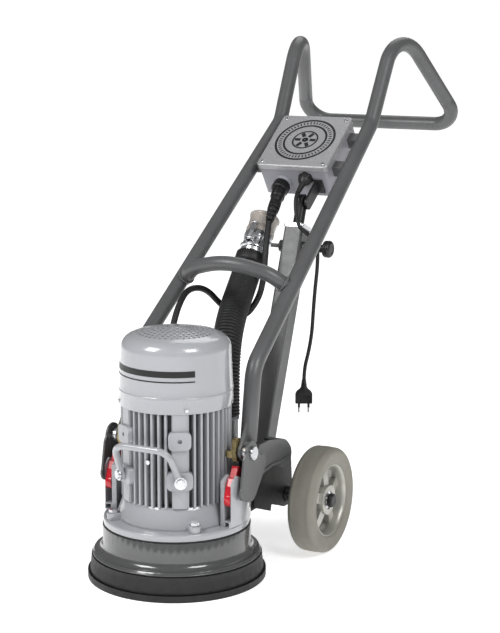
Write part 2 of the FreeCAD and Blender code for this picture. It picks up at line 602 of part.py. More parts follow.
def make_control_box():
    """Control box between the tubes, its lid, screws, brackets, fittings and buttons."""
    up_edges = lambda e: abs(e.tangentAt(e.FirstParameter).z) > 0.9
    body = block((-BOX_HALF + 2, 2, -BOX_DEPTH), (BOX_HALF - 2, BOX_LENGTH - 2, -LID_DEPTH))
    body = rounded(body, 8, up_edges)
    room = block((-BOX_HALF + 5, 5, -BOX_DEPTH + 3), (BOX_HALF - 5, BOX_LENGTH - 5, -LID_DEPTH))
    body = body.cut(room)
    holes = [
        rod(12.2, V(MOTOR_SOCKET_X, -5, SOCKET_W), V(MOTOR_SOCKET_X, 8, SOCKET_W)),
        rod(9, V(GLAND_X, -5, GLAND_W), V(GLAND_X, 8, GLAND_W)),
    ]
    holes += [
        rod(11.3, V(x, BOX_LENGTH - 12, BUTTON_W), V(x, BOX_LENGTH + 5, BUTTON_W))
        for x in (-BUTTON_X, BUTTON_X)
    ]
    body = body.cut(Part.makeCompound(holes))
    flange = rod(17, V(MOTOR_SOCKET_X, 2, SOCKET_W), V(MOTOR_SOCKET_X, -6, SOCKET_W))
    neck = rod(12.2, V(MOTOR_SOCKET_X, 6, SOCKET_W), V(MOTOR_SOCKET_X, 0, SOCKET_W))
    collars = [
        rod(15, V(x, BOX_LENGTH - 2, BUTTON_W), V(x, BOX_LENGTH, BUTTON_W)).cut(
            rod(11.3, V(x, BOX_LENGTH - 9, BUTTON_W), V(x, BOX_LENGTH + 5, BUTTON_W)))
        for x in (-BUTTON_X, BUTTON_X)
    ]
    save("control_box", on_box(fused(body, flange, neck, *collars)))
    lid = block((-BOX_HALF, 0, -LID_DEPTH), (BOX_HALF, BOX_LENGTH, 0))
    lid = rounded(lid, 9, up_edges)
    lid = rounded(lid, 3, lambda e: e.BoundBox.ZMin > -0.01)
    screw_places = [(x, y) for x in (-66, 66) for y in (11.5, BOX_LENGTH - 11.5)]
    sockets = [rod(4.5, V(x, y, -3), V(x, y, 5)) for x, y in screw_places]
    save("control_box_lid", on_box(lid.cut(Part.makeCompound(sockets))))
    screw = turned((0, -3), [(4.4, -3), (4.4, -0.6), (3.8, 0.6, 2, 1), (0, 1), (0, -3)])
    screw = screw.cut(block((-4, -0.5, -0.6), (4, 0.5, 2)))
    save("lid_screws", *[on_box(screw.translated(V(x, y, 0))) for x, y in screw_places])

    tubes = swept(bent_path(SIDE_ROUTE[:4], SIDE_BENDS[:2]), TUBE_R)
    clip = block((BOX_HALF - 2, 0, -43), (96, 22, -21))
    clips = [on_box(clip.translated(V(0, y, 0))).cut(tubes) for y in (24, 112)]
    save("box_brackets", *clips, *[mirrored(c) for c in clips])

    head = rod(18.5, V(MOTOR_SOCKET_X, -6, SOCKET_W), V(MOTOR_SOCKET_X, -26, SOCKET_W))
    head = on_box(head)
    start = V(-15, 400, 596)
    heart = on_box(rod(1, V(MOTOR_SOCKET_X, -16, SOCKET_W), V(MOTOR_SOCKET_X, -17, SOCKET_W)))
    heart = heart.CenterOfMass
    along = start - heart
    shank = Part.makeCone(14, 8.5, along.Length, heart, along)
    shank = shank.cut(on_box(rod(40, V(MOTOR_SOCKET_X, -6, SOCKET_W), V(MOTOR_SOCKET_X, 60, SOCKET_W))))
    grip = rod(13, heart + along * 0.45, heart + along * 0.62)
    save("motor_plug", fused(head, shank, grip))

    nut = rod(14, V(GLAND_X, 2, GLAND_W), V(GLAND_X, -9, GLAND_W))
    thread = rod(9, V(GLAND_X, 8, GLAND_W), V(GLAND_X, 0, GLAND_W))
    relief = Part.makeCone(9.5, 5, 11, V(GLAND_X, -9, GLAND_W), V(0, -1, 0))
    save("cord_gland", on_box(fused(nut, thread, relief)))

    for name, x in (("start_button", -BUTTON_X), ("stop_button", BUTTON_X)):
        proud = 7 if name == "stop_button" else 5
        base = BOX_LENGTH - 2
        stem = rod(11, V(x, base - 8, BUTTON_W), V(x, base + proud, BUTTON_W))
        save(name, on_box(stem))
    head_y, head_z = STRUT_HEAD
    tongue = block((STRUT_X + 12.5, -62, -64), (STRUT_X + 17.5, 2, -38))
    tongue = rounded(tongue, 11, lambda e: abs(e.tangentAt(e.FirstParameter).x) > 0.9 and e.BoundBox.YMax < 0)
    base = block((STRUT_X + 11, -2, -66), (STRUT_X + 30, 2, -34))
    pin = rod(EYE_PIN_R, V(STRUT_X - 8, head_y, head_z), V(STRUT_X + 15, head_y, head_z))
    keeper = rod(8, V(STRUT_X - 10, head_y, head_z), V(STRUT_X - 7.8, head_y, head_z))
    save("strut_top_bracket", fused(on_box(fused(tongue, base)), pin, keeper))


def on_strut(shape):
    """Put a shape drawn along Z from the strut's foot in its place."""
    foot = V(0, *STRUT_FOOT)
    head = V(0, *STRUT_HEAD)
    lean = math.degrees(math.atan2(head.y - foot.y, head.z - foot.z))
    copy = shape.copy()
    copy.rotate(V(0, 0, 0), X_AXIS, -lean)
    copy.translate(V(STRUT_X, foot.y, foot.z))
    return copy


def make_strut():
    """Telescopic strut with its clamp knob."""
    post = block((-POST_HALF, -POST_HALF, -14), (POST_HALF, POST_HALF, POST_LENGTH - 14))
    post = rounded(post, 4.5, lambda e: abs(e.tangentAt(e.FirstParameter).z) > 0.9)
    inside = POST_HALF - POST_WALL
    post = post.cut(block((-inside, -inside, -20), (inside, inside, POST_LENGTH)))
    boss = rod(12, V(-POST_HALF - 10, 0, CLAMP_AT), V(-inside, 0, CLAMP_AT))
    far_boss = rod(11, V(inside, 0, CLAMP_AT), V(POST_HALF + 6, 0, CLAMP_AT))
    post = fused(post, boss, far_boss)
    post = post.cut(rod(6.05, V(-60, 0, 0), V(60, 0, 0)))
    post = post.cut(rod(5.05, V(0, 0, CLAMP_AT), V(60, 0, CLAMP_AT)))
    post = on_strut(post)
    at = on_strut(rod(1, V(0, 0, CLAMP_AT), V(1, 0, CLAMP_AT))).CenterOfMass
    hanger = rod(4, V(STRUT_X - 16, at.y, at.z), V(HOSE_ROUTE[-1].x + 12, at.y, at.z))
    hanger = hanger.cut(on_coupling(Part.makeCylinder(30.2, 60, V(0, 0, 2))))
    save("strut_post", fused(post, hanger))
    top = POST_LENGTH - 14
    collar = block((-POST_HALF - 1, -POST_HALF - 1, top), (POST_HALF + 1, POST_HALF + 1, top + 8))
    collar = rounded(collar, 4, lambda e: abs(e.tangentAt(e.FirstParameter).z) > 0.9)
    spigot = block((-inside, -inside, top - 14), (inside, inside, top))
    collar = fused(collar, spigot).cut(rod(STRUT_TUBE_R + 0.2, V(0, 0, 400), V(0, 0, 520)))
    save("strut_collar", on_strut(collar))
    reach = math.dist(STRUT_FOOT, STRUT_HEAD)
    tube = rod(STRUT_TUBE_R, V(0, 0, 160), V(0, 0, reach - 8))
    tube = tube.cut(rod(STRUT_TUBE_R - 2.5, V(0, 0, 150), V(0, 0, reach - 20)))
    eye = rod(EYE_PIN_R + EYE_PLAY + 3.5, V(-7, 0, reach), V(7, 0, reach))
    bore = rod(EYE_PIN_R + EYE_PLAY, V(-20, 0, reach), V(20, 0, reach))
    save("strut_tube", on_strut(fused(tube, eye).cut(bore)))
    knob = turned(
        (0, 11.6),
        [(5, 11.6), (5, 26.3), (8, 26.3), (8, 62), (11, 65), (15.5, 66, 16, 71),
         (15, 79, 8, 80), (0, 80), (0, 11.6)],
    )
    save("strut_knob", on_strut(turn_to_x(knob, 0, 0, CLAMP_AT)))


def on_coupling(shape):
    """Put a shape drawn along Z from the hose's upper end in its place."""
    copy = shape.copy()
    copy.rotate(V(0, 0, 0), X_AXIS, -COUPLING_LEAN)
    copy.translate(HOSE_ROUTE[-1])
    return copy


def make_hose():
    """Dust hose from the duct's stub to the quick coupling held beside the strut."""
    path = hanging_path("hose", HOSE_ROUTE)
    hose = swept(path, HOSE_R).cut(swept(path, HOSE_R - 3.2))
    save("hose", hose)
    cuff = turned(
        (28.9, -16), [(31, -16), (32, -14), (32, 3), (31, 5), (24, 5), (24, 0.6), (28.9, 0.6), (28.9, -16)],
    )
    save("hose_clamp_cuff", on_coupling(cuff))
    body = turned(
        (21, 5),
        [(27, 5), (27, 14), (30, 16), (30, 21), (26.5, 23), (26.5, 38), (29, 40), (29, 47),
         (27.5, 49), (27.5, 53), (21, 53), (21, 5)],
    )
    ears = []
    for side in (-1, 1):
        for x in (-10.2, 6.2):
            near, far = sorted((side * 25, side * 37))
            ears.append(block((x, near, 22), (x + 4, far, 36)))
    body = fused(body, *ears)
    pins = rod(3, V(-11, -32, 29), V(11, -32, 29)), rod(3, V(-11, 32, 29), V(11, 32, 29))
    body = fused(body, *pins).cut(rod(21, V(0, 0, 0), V(0, 0, 60)))
    save("hose_coupling", on_coupling(body))
    arm = outline(
        lambda y, z: V(-5.8, y, z), (-28.5, 27),
        [(-30, 24.7), (-34.5, 24, -37, 28), (-37, 44), (-35, 62), (-35, 66, -31, 64), (-32, 44),
         (-28.5, 34), (-28.5, 27)],
    ).extrude(V(11.6, 0, 0))
    arm = arm.cut(rod(3.05, V(-20, -32, 29), V(20, -32, 29)))
    save("cam_lever_front", on_coupling(arm))
    save("cam_lever_back", on_coupling(arm.mirror(V(0, 0, 0), Y_AXIS)))
    mouth = turned(
        (VACUUM_BORE_R, 53),
        [(28, 53), (29, 55), (29, 62), (27.5, 64), (28.5, 88), (31, 91, 30.5, 94),
         (28, 95.5, VACUUM_BORE_R, 94), (VACUUM_BORE_R, 53)],
    )
    save("vacuum_cuff", on_coupling(mouth))


def make_cables():
    """Supply cord with its two-pin plug, and the motor's cable."""
    path = hanging_path("supply cord", CORD_ROUTE)
    cord = swept(path, CORD_R)
    print("cord volume ratio", round(cord.Volume / (math.pi * CORD_R ** 2 * path.Length), 3))
    save("supply_cord", cord)
    end = CORD_ROUTE[-1]
    relief = Part.makeCone(9, 5, 14, end + V(0, 0, -14))
    shell = block((end.x - 16, end.y - 8, end.z - 38), (end.x + 16, end.y + 8, end.z - 13))
    shell = rounded(shell, 4, lambda e: abs(e.tangentAt(e.FirstParameter).z) > 0.9)
    pins = [rod(2.4, end + V(x, 0, -57), end + V(x, 0, -38)) for x in (-9.5, 9.5)]
    plug = [fused(relief, shell), *pins]
    for piece in plug:
        piece.rotate(end, Z_AXIS, PLUG_TURN)
    save("mains_plug", *plug)
    path = hanging_path("motor cable", MOTOR_CABLE_ROUTE)
    cable = swept(path, MOTOR_CABLE_R)
    print("cable volume ratio", round(cable.Volume / (math.pi * MOTOR_CABLE_R ** 2 * path.Length), 3))
    save("motor_cable", cable)


def main():
    os.makedirs("parts", exist_ok=True)
    make_head()
    make_dust_duct()
    handle_bolt = make_carry_handle()
    make_motor(handle_bolt)
    make_terminal_box()
    make_spindle()
    make_latches()
    make_chassis()
    bearings = make_wheel(1, "right") + make_wheel(-1, "left")
    save("wheel_bearings", *bearings)
    make_handle()
    make_control_box()
    make_strut()
    make_hose()
    make_cables()
    print("row shift", MIDDLE_Y)


main()
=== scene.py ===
# %% [markdown]
# # A walk-behind concrete grinder
# A heavy machine of painted steel: a finned electric motor stands on a dust hood, and a bent-tube
# frame carries the controls. The structure comes from the CAD model. This lesson paints and finishes
# it, and builds the soft and small pieces that need a modeller's hand: hose, cables, bristles,
# plugs and labels.

# %% Load the frame
import json
import math

import bpy
from mathutils import Matrix, Vector


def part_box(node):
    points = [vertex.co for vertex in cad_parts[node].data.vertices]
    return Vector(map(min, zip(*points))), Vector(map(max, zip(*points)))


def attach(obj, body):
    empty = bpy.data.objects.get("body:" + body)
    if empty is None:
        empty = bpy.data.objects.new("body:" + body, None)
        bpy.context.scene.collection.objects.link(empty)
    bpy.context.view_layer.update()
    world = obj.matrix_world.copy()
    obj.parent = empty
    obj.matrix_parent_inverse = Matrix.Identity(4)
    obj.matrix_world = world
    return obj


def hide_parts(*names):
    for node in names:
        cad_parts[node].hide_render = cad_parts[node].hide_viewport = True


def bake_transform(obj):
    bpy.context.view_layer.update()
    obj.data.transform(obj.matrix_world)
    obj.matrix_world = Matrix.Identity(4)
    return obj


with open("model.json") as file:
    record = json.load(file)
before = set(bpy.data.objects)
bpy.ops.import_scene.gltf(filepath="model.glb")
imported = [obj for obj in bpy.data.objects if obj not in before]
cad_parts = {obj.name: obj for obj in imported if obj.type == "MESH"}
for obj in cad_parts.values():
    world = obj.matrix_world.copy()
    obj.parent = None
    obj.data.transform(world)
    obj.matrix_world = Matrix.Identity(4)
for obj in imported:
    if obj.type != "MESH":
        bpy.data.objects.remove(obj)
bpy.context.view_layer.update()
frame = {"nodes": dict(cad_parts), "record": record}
nodes = frame["nodes"]
slot_of = {part["node"]: part["material_slot"] for part in frame["record"]["subparts"]}
MM = 0.001
bpy.ops.object.select_all(action="DESELECT")
print("CAD nodes:", len(nodes))

# %% [markdown]
# Places are measured from the frame, so that a change in the CAD model moves everything with it.
# The motor's axis is the middle of the skirt ring; the box's slope, the handle tubes' slope, is given as 35 degrees.

# %% Places read from the frame
rim_low, rim_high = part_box("brush_rim")
MOTOR_AXIS = Vector(((rim_low.x + rim_high.x) / 2, (rim_low.y + rim_high.y) / 2, 0))
BOX_PITCH = math.radians(35)


def from_axis(x, y, z):
    """A point given in millimetres from the motor's axis on the floor."""
    return MOTOR_AXIS + Vector((x, y, z)) * MM


def middle_of(node):
    """The middle of a CAD node's box."""
    low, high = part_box(node)
    return (low + high) / 2


print("motor axis at", tuple(round(v, 4) for v in MOTOR_AXIS))

# %% [markdown]
# ## Materials
# Every finish is a small node tree on Object coordinates, in metres. A finish has three layers:
# slow colour variation, as dust and fading make; fine bump, as orange peel or casting skin; and a
# roughness that varies a little, so that highlights break up as they do on a used machine.

# %% Node helpers
def new_finish(name):
    """An empty material with its shader, and Object coordinates."""
    material = bpy.data.materials.new(name)
    material.use_nodes = True
    tree = material.node_tree
    shader = tree.nodes["Principled BSDF"]
    place = tree.nodes.new("ShaderNodeTexCoord").outputs["Object"]
    return material, tree, shader, place


def add_noise(tree, place, scale, detail=3.0, rough=0.55):
    """A noise value between 0 and 1."""
    noise = tree.nodes.new("ShaderNodeTexNoise")
    noise.inputs["Scale"].default_value = scale
    noise.inputs["Detail"].default_value = detail
    noise.inputs["Roughness"].default_value = rough
    tree.links.new(place, noise.inputs["Vector"])
    return noise.outputs["Fac"]


def add_range(tree, value, low, high, from_low=0.3, from_high=0.7):
    """A value stretched to a range."""
    ranged = tree.nodes.new("ShaderNodeMapRange")
    ranged.inputs["From Min"].default_value = from_low
    ranged.inputs["From Max"].default_value = from_high
    ranged.inputs["To Min"].default_value = low
    ranged.inputs["To Max"].default_value = high
    tree.links.new(value, ranged.inputs["Value"])
    return ranged.outputs["Result"]


def add_colours(tree, value, first, second):
    """A colour between two, chosen by a value."""
    ramp = tree.nodes.new("ShaderNodeValToRGB")
    ramp.color_ramp.elements[0].color = (*first, 1)
    ramp.color_ramp.elements[1].color = (*second, 1)
    tree.links.new(value, ramp.inputs["Fac"])
    return ramp.outputs["Color"]


def add_bump(tree, shader, height, strength, distance):
    """Bump from a height value."""
    bump = tree.nodes.new("ShaderNodeBump")
    bump.inputs["Strength"].default_value = strength
    bump.inputs["Distance"].default_value = distance
    tree.links.new(height, bump.inputs["Height"])
    tree.links.new(bump.outputs["Normal"], shader.inputs["Normal"])
    return bump


def shade(colour, amount):
    """A colour made lighter or darker."""
    return tuple(min(1.0, channel * amount) for channel in colour)


# %% [markdown]
# Painted steel is most of the machine. Powder coat has a soft orange peel, and it collects a grey
# film of concrete dust. The peel is bump, the film is a slow noise that pulls the colour, and a
# finer noise varies the gloss.

# %% Painted metal
def painted_metal(name, colour, gloss, peel_scale=420.0, peel=0.12, spread=0.12, metallic=0.0, coat=0.0):
    """Powder coat or paint with orange peel and a little dust."""
    material, tree, shader, place = new_finish(name)
    slow = add_noise(tree, place, 7.0, 5.0, 0.6)
    colours = add_colours(
        tree, add_range(tree, slow, 0.0, 1.0), shade(colour, 1 - spread), shade(colour, 1 + spread)
    )
    tree.links.new(colours, shader.inputs["Base Color"])
    fine = add_noise(tree, place, 60.0, 4.0)
    tree.links.new(add_range(tree, fine, gloss - 0.03, gloss + 0.05), shader.inputs["Roughness"])
    add_bump(tree, shader, add_noise(tree, place, peel_scale, 2.0), peel, 0.0006)
    shader.inputs["Metallic"].default_value = metallic
    shader.inputs["Coat Weight"].default_value = coat
    shader.inputs["Coat Roughness"].default_value = 0.08
    return material


# %% Hammered lacquer
def hammered_paint(name, colour, gloss):
    """Silver hammered lacquer: small round dimples in a metallic paint."""
    material, tree, shader, place = new_finish(name)
    cells = tree.nodes.new("ShaderNodeTexVoronoi")
    cells.feature = "SMOOTH_F1"
    cells.inputs["Scale"].default_value = 330.0
    tree.links.new(place, cells.inputs["Vector"])
    colours = add_colours(
        tree, add_range(tree, cells.outputs["Distance"], 0.0, 1.0, 0.0, 0.8),
        shade(colour, 0.82), shade(colour, 1.1),
    )
    tree.links.new(colours, shader.inputs["Base Color"])
    rough = add_range(tree, add_noise(tree, place, 40.0), gloss - 0.05, gloss + 0.1)
    tree.links.new(rough, shader.inputs["Roughness"])
    add_bump(tree, shader, cells.outputs["Distance"], 0.35, 0.0012)
    shader.inputs["Metallic"].default_value = 0.35
    return material


# %% Bare metal
def bare_metal(name, colour, roughness, grain=(1, 1, 1), grain_scale=300.0, bump=0.15):
    """Steel or zinc plate, with a grain that can be drawn out along an axis."""
    material, tree, shader, place = new_finish(name)
    stretch = tree.nodes.new("ShaderNodeMapping")
    stretch.inputs["Scale"].default_value = grain
    tree.links.new(place, stretch.inputs["Vector"])
    lines = add_noise(tree, stretch.outputs["Vector"], grain_scale, 3.0)
    slow = add_noise(tree, place, 35.0, 4.0)
    colours = add_colours(
        tree, add_range(tree, slow, 0.0, 1.0), shade(colour, 0.8), shade(colour, 1.12)
    )
    tree.links.new(colours, shader.inputs["Base Color"])
    tree.links.new(
        add_range(tree, lines, roughness - 0.08, roughness + 0.12), shader.inputs["Roughness"]
    )
    add_bump(tree, shader, lines, bump, 0.0003)
    shader.inputs["Metallic"].default_value = 1.0
    return material


# %% Rubber and plastic
def moulded(name, colour, roughness, grain_scale=900.0, bump=0.12, spread=0.15):
    """Moulded rubber or plastic: fine grain, low gloss, a little dust in the tone."""
    material, tree, shader, place = new_finish(name)
    slow = add_noise(tree, place, 18.0, 5.0, 0.6)
    colours = add_colours(
        tree, add_range(tree, slow, 0.0, 1.0), shade(colour, 1 - spread), shade(colour, 1 + spread)
    )
    tree.links.new(colours, shader.inputs["Base Color"])
    patchy = add_noise(tree, place, 90.0, 3.0)
    tree.links.new(
        add_range(tree, patchy, roughness - 0.06, roughness + 0.08), shader.inputs["Roughness"]
    )
    add_bump(tree, shader, add_noise(tree, place, grain_scale, 2.0), bump, 0.0004)
    return material


# %% Cast alloy
def cast_alloy(name, colour, roughness):
    """Sand-cast aluminium: a pebbled skin, half matte."""
    material, tree, shader, place = new_finish(name)
    pebbles = tree.nodes.new("ShaderNodeTexVoronoi")
    pebbles.inputs["Scale"].default_value = 520.0
    tree.links.new(place, pebbles.inputs["Vector"])
    slow = add_noise(tree, place, 22.0, 5.0)
    colours = add_colours(
        tree, add_range(tree, slow, 0.0, 1.0), shade(colour, 0.82), shade(colour, 1.1)
    )
    tree.links.new(colours, shader.inputs["Base Color"])
    rough = add_range(tree, add_noise(tree, place, 120.0), roughness - 0.08, roughness + 0.1)
    tree.links.new(rough, shader.inputs["Roughness"])
    add_bump(tree, shader, pebbles.outputs["Distance"], 0.25, 0.0006)
    shader.inputs["Metallic"].default_value = 0.75
    return material


# %% Milky plastic
def milky_plastic(name, colour):
    """Translucent plastic, as a suction cuff is made of: light passes, shapes don't."""
    material, tree, shader, place = new_finish(name)
    slow = add_noise(tree, place, 30.0, 4.0)
    colours = add_colours(
        tree, add_range(tree, slow, 0.0, 1.0), shade(colour, 0.85), shade(colour, 1.1)
    )
    tree.links.new(colours, shader.inputs["Base Color"])
    rough = add_range(tree, add_noise(tree, place, 60.0), 0.16, 0.26)
    tree.links.new(rough, shader.inputs["Roughness"])
    shader.inputs["Transmission Weight"].default_value = 0.3
    shader.inputs["IOR"].default_value = 1.45
    add_bump(tree, shader, add_noise(tree, place, 120.0), 0.05, 0.0004)
    return material


# %% [markdown]
# One finish for each slot of the record. The dark frame is a semi-gloss grey, the motor a light cool
# grey, and the hood a glossier grey that mirrors the lamps.

# %% The machine's finishes
DARK_GREY = (0.092, 0.093, 0.095)
LIGHT_GREY = (0.36, 0.367, 0.388)
BLACK = (0.006, 0.006, 0.0065)

finishes = {
    "dark_grey_paint": painted_metal("frame grey powder coat", DARK_GREY, 0.36),
    "light_grey_paint": painted_metal("motor grey paint", LIGHT_GREY, 0.22, spread=0.03, coat=0.7),
    "hood_grey_paint": painted_metal(
        "hood gloss grey", (0.076, 0.077, 0.078), 0.16, 300.0, 0.06, coat=0.6
    ),
    "black_paint": painted_metal("chassis black", (0.01, 0.01, 0.011), 0.42, spread=0.2),
    "duct_steel": bare_metal("duct steel", (0.26, 0.265, 0.27), 0.42),
    "skirt_rubber": moulded("skirt rubber", (0.012, 0.012, 0.0125), 0.6, 700.0, 0.2),
    "black_rubber": moulded("black rubber", BLACK, 0.55),
    "tyre_rubber": moulded("grey tyre rubber", (0.245, 0.235, 0.2), 0.65, 500.0, 0.18, 0.08),
    "cast_alloy": cast_alloy("cast rim alloy", (0.5, 0.49, 0.45), 0.42),
    "zinc_steel": bare_metal("zinc plate", (0.62, 0.63, 0.65), 0.26),
    "lid_paint": hammered_paint("hammered silver lid", (0.4, 0.4, 0.415), 0.34),
    "box_paint": painted_metal("box grey", (0.28, 0.28, 0.31), 0.36, spread=0.07),
    "red_paint": painted_metal("lever red", (0.52, 0.006, 0.018), 0.28, coat=0.3),
    "stop_red": moulded("stop button red", (0.5, 0.01, 0.012), 0.28, 500.0, 0.04),
    "start_green": moulded("start button green", (0.02, 0.26, 0.07), 0.28, 500.0, 0.04),
    "black_plastic": moulded("black plastic", (0.006, 0.006, 0.007), 0.42),
    "clear_cuff": milky_plastic("milky cuff", (0.5, 0.46, 0.415)),
    "machine_steel": bare_metal("turned steel", (0.42, 0.42, 0.43), 0.34, (1, 1, 12)),
    "yellow_zinc": bare_metal("yellow passivated zinc", (0.5, 0.4, 0.2), 0.3),
    "diamond_metal": moulded("diamond matrix", (0.2, 0.17, 0.14), 0.7, 900.0, 0.6),
}
print("finishes:", len(finishes))

# %% [markdown]
# A CAD node keeps its shape. A Weld modifier joins its loose triangles, and a narrow Bevel breaks
# every sharp edge, because no real edge is perfectly sharp: the bevel catches a thin line of light.

# %% Dress the CAD nodes
BEVEL_WIDTH = {"motor_housing": 0.5, "fan_cover": 0.35, "rotor": 0.0, "stator": 0.0}


def dress(node, width):
    """Give a CAD node its finish and softened edges."""
    piece = nodes[node]
    piece.data.materials.clear()
    piece.data.materials.append(finishes[slot_of[node]])
    weld = piece.modifiers.new("join triangles", "WELD")
    weld.merge_threshold = 0.00002
    if width:
        soften = piece.modifiers.new("soft edges", "BEVEL")
        soften.width = width * MM
        soften.segments = 2
        soften.limit_method = "ANGLE"
        soften.angle_limit = math.radians(40)
        soften.harden_normals = True


for node in sorted(nodes):
    dress(node, BEVEL_WIDTH.get(node, 0.6))
nodes["latch_hooks"].data.materials[0] = finishes["yellow_zinc"]


def paint_shade_in_valleys(name, root, tip, depth):
    """The motor's paint with painted shade between the fins, darker towards their roots."""
    material, tree, shader, place = new_finish(name)
    centre = tree.nodes.new("ShaderNodeVectorMath")
    centre.operation = "MULTIPLY_ADD"
    centre.inputs[1].default_value = (1, 1, 0)
    centre.inputs[2].default_value = tuple(-MOTOR_AXIS)
    tree.links.new(place, centre.inputs[0])
    reach = tree.nodes.new("ShaderNodeVectorMath")
    reach.operation = "LENGTH"
    tree.links.new(centre.outputs["Vector"], reach.inputs[0])
    # Painted shade: the colour darkens from the fins' tips to their roots, where the light can't reach.
    outside_painted_shade = add_range(tree, reach.outputs["Value"], 0.0, 1.0, root * MM, tip * MM)
    colours = add_colours(tree, outside_painted_shade, shade(LIGHT_GREY, depth), LIGHT_GREY)
    tree.links.new(colours, shader.inputs["Base Color"])
    fine = add_noise(tree, place, 60.0, 4.0)
    tree.links.new(add_range(tree, fine, 0.28, 0.42), shader.inputs["Roughness"])
    add_bump(tree, shader, add_noise(tree, place, 420.0, 2.0), 0.12, 0.0006)
    shader.inputs["Coat Weight"].default_value = 0.2
    shader.inputs["Coat Roughness"].default_value = 0.12
    return material


# The motor housing gets painted shade in the gaps between its fins.
nodes["motor_housing"].data.materials[0] = paint_shade_in_valleys("fin paint with painted shade", 84, 95, 0.22)
print("dressed", len(nodes), "nodes")

# %% Small helpers for new pieces
def only(piece):
    """Select one piece and nothing else."""
    bpy.ops.object.select_all(action="DESELECT")
    piece.select_set(True)
    bpy.context.view_layer.objects.active = piece


def settle(piece):
    """Apply a piece's place, so that its object sits at the origin."""
    only(piece)
    bpy.ops.object.transform_apply(location=True, rotation=True, scale=True)


def pick_faces(piece, wanted):
    """Go into edit mode with just these faces picked."""
    only(piece)
    bpy.ops.object.mode_set(mode="EDIT")
    bpy.ops.mesh.select_mode(type="FACE")
    bpy.ops.mesh.select_all(action="DESELECT")
    bpy.ops.object.mode_set(mode="OBJECT")
    for face in piece.data.polygons:
        face.select = wanted(face)
    bpy.ops.object.mode_set(mode="EDIT")


def soften_edges(piece, width, segments=2, angle=35):
    """Round a new piece's edges and smooth its shading."""
    only(piece)
    rounding = piece.modifiers.new("rounding", "BEVEL")
    rounding.width = width * MM
    rounding.segments = segments
    rounding.limit_method = "ANGLE"
    rounding.angle_limit = math.radians(angle)
    bpy.ops.object.modifier_apply(modifier="rounding")
    bpy.ops.object.shade_smooth_by_angle(angle=math.radians(angle))


def stacked(sides, profile, capped=True):
    """A solid drawn up from a disc: the top is extruded and resized for each (height, radius) in mm."""
    bpy.ops.object.select_all(action="DESELECT")
    height, radius = profile[0]
    bpy.ops.mesh.primitive_circle_add(
        vertices=sides, radius=radius * MM, fill_type="NGON", location=(0, 0, height * MM)
    )
    piece = bpy.context.object
    settle(piece)
    bpy.ops.object.mode_set(mode="EDIT")
    bpy.ops.mesh.select_all(action="SELECT")
    for next_height, next_radius in profile[1:]:
        bpy.ops.mesh.extrude_region_move(
            TRANSFORM_OT_translate={"value": (0, 0, (next_height - height) * MM)}
        )
        ratio = next_radius / radius
        bpy.ops.transform.resize(
            value=(ratio, ratio, 1), center_override=(0, 0, next_height * MM)
        )
        height, radius = next_height, next_radius
    bpy.ops.mesh.select_all(action="SELECT")
    bpy.ops.mesh.normals_make_consistent(inside=False)
    bpy.ops.object.mode_set(mode="OBJECT")
    return piece


def put(piece, frame_matrix):
    """Carry a piece from the drawing origin to its place."""
    piece.matrix_world = frame_matrix @ piece.matrix_world
    settle(piece)
    return piece


def joined(first, *others):
    """Make one mesh of several pieces."""
    only(first)
    for other in others:
        other.select_set(True)
    bpy.ops.object.join()
    return first


def copies_round(piece, count, middle, first_angle=0.0):
    """A piece and its copies, each with its own mesh, round a vertical axis."""
    ring = [piece]
    for n in range(1, count):
        twin = piece.copy()
        twin.data = piece.data.copy()
        bpy.context.scene.collection.objects.link(twin)
        ring.append(twin)
    for n, twin in enumerate(ring):
        turn = Matrix.Rotation(first_angle + 2 * math.pi * n / count, 4, "Z")
        twin.matrix_world = Matrix.Translation(middle) @ turn @ twin.matrix_world
    joined(*ring)
    settle(ring[0])
    return ring[0]


def hand_over(piece, name, body, slot, *stands_for):
    """Name a finished piece, paint it, and let it ride on its body."""
    piece.name = name
    piece.data.name = name
    piece.data.materials.clear()
    piece.data.materials.append(finishes[slot])
    if body:
        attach(piece, body)
    if stands_for:
        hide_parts(*stands_for)
    return piece


# %% [markdown]
# ## Hose and cables
# A flexible line is a smooth NURBS spline through the air: its control points are the route, and the
# curve cuts inside them as a real cable does. The hose is ribbed, so its skin is built ring by ring
# on points read from the spline, each ring a little wider or narrower than the last.

# %% Routes, in millimetres from the motor's axis
HOSE_ROUTE = [
    (0, 185, 252), (-2, 187, 345), (-20, 240, 420), (-50, 363, 485.3), (-50, 392, 521),
]
MOTOR_CABLE_ROUTE = [
    (-14.7, 398.3, 594.7), (-9, 376, 564), (-3, 358, 527), (-2, 350, 488), (-9, 342, 448),
    (-36, 328, 409), (-72, 308, 436), (-82, 262, 478), (-89, 205, 486), (-86, 163, 462),
    (-80, 128, 424), (-74.8, 95.7, 372), (-74.8, 95.7, 320),
]
CORD_ROUTE = [
    (26, 463.9, 664.1), (26, 450, 654.6), (28, 429, 643.5), (36, 413, 616), (50, 398, 588),
    (62, 412, 575), (73, 438, 551), (73, 438, 507), (71, 431, 460), (70.5, 425, 415),
    (70, 421, 375), (66, 414, 336), (60, 407, 303), (60, 407, 272),
]


def spline_through(name, route):
    """A smooth open NURBS curve object on a route's points."""
    curve = bpy.data.curves.new(name, "CURVE")
    curve.dimensions = "3D"
    spline = curve.splines.new("NURBS")
    spline.points.add(len(route) - 1)
    for point, place in zip(spline.points, route):
        point.co = (*from_axis(*place), 1)
    spline.order_u = 3
    spline.use_endpoint_u = True
    spline.resolution_u = 24
    piece = bpy.data.objects.new(name, curve)
    bpy.context.scene.collection.objects.link(piece)
    return piece


def line_of(curve_piece):
    """The points that a curve with no bevel runs through."""
    bpy.context.view_layer.update()
    shape = bpy.data.meshes.new_from_object(curve_piece)
    points = [vertex.co.copy() for vertex in shape.vertices]
    bpy.data.meshes.remove(shape)
    return points


def length_of(points):
    """A polyline's length."""
    return sum((b - a).length for a, b in zip(points, points[1:]))


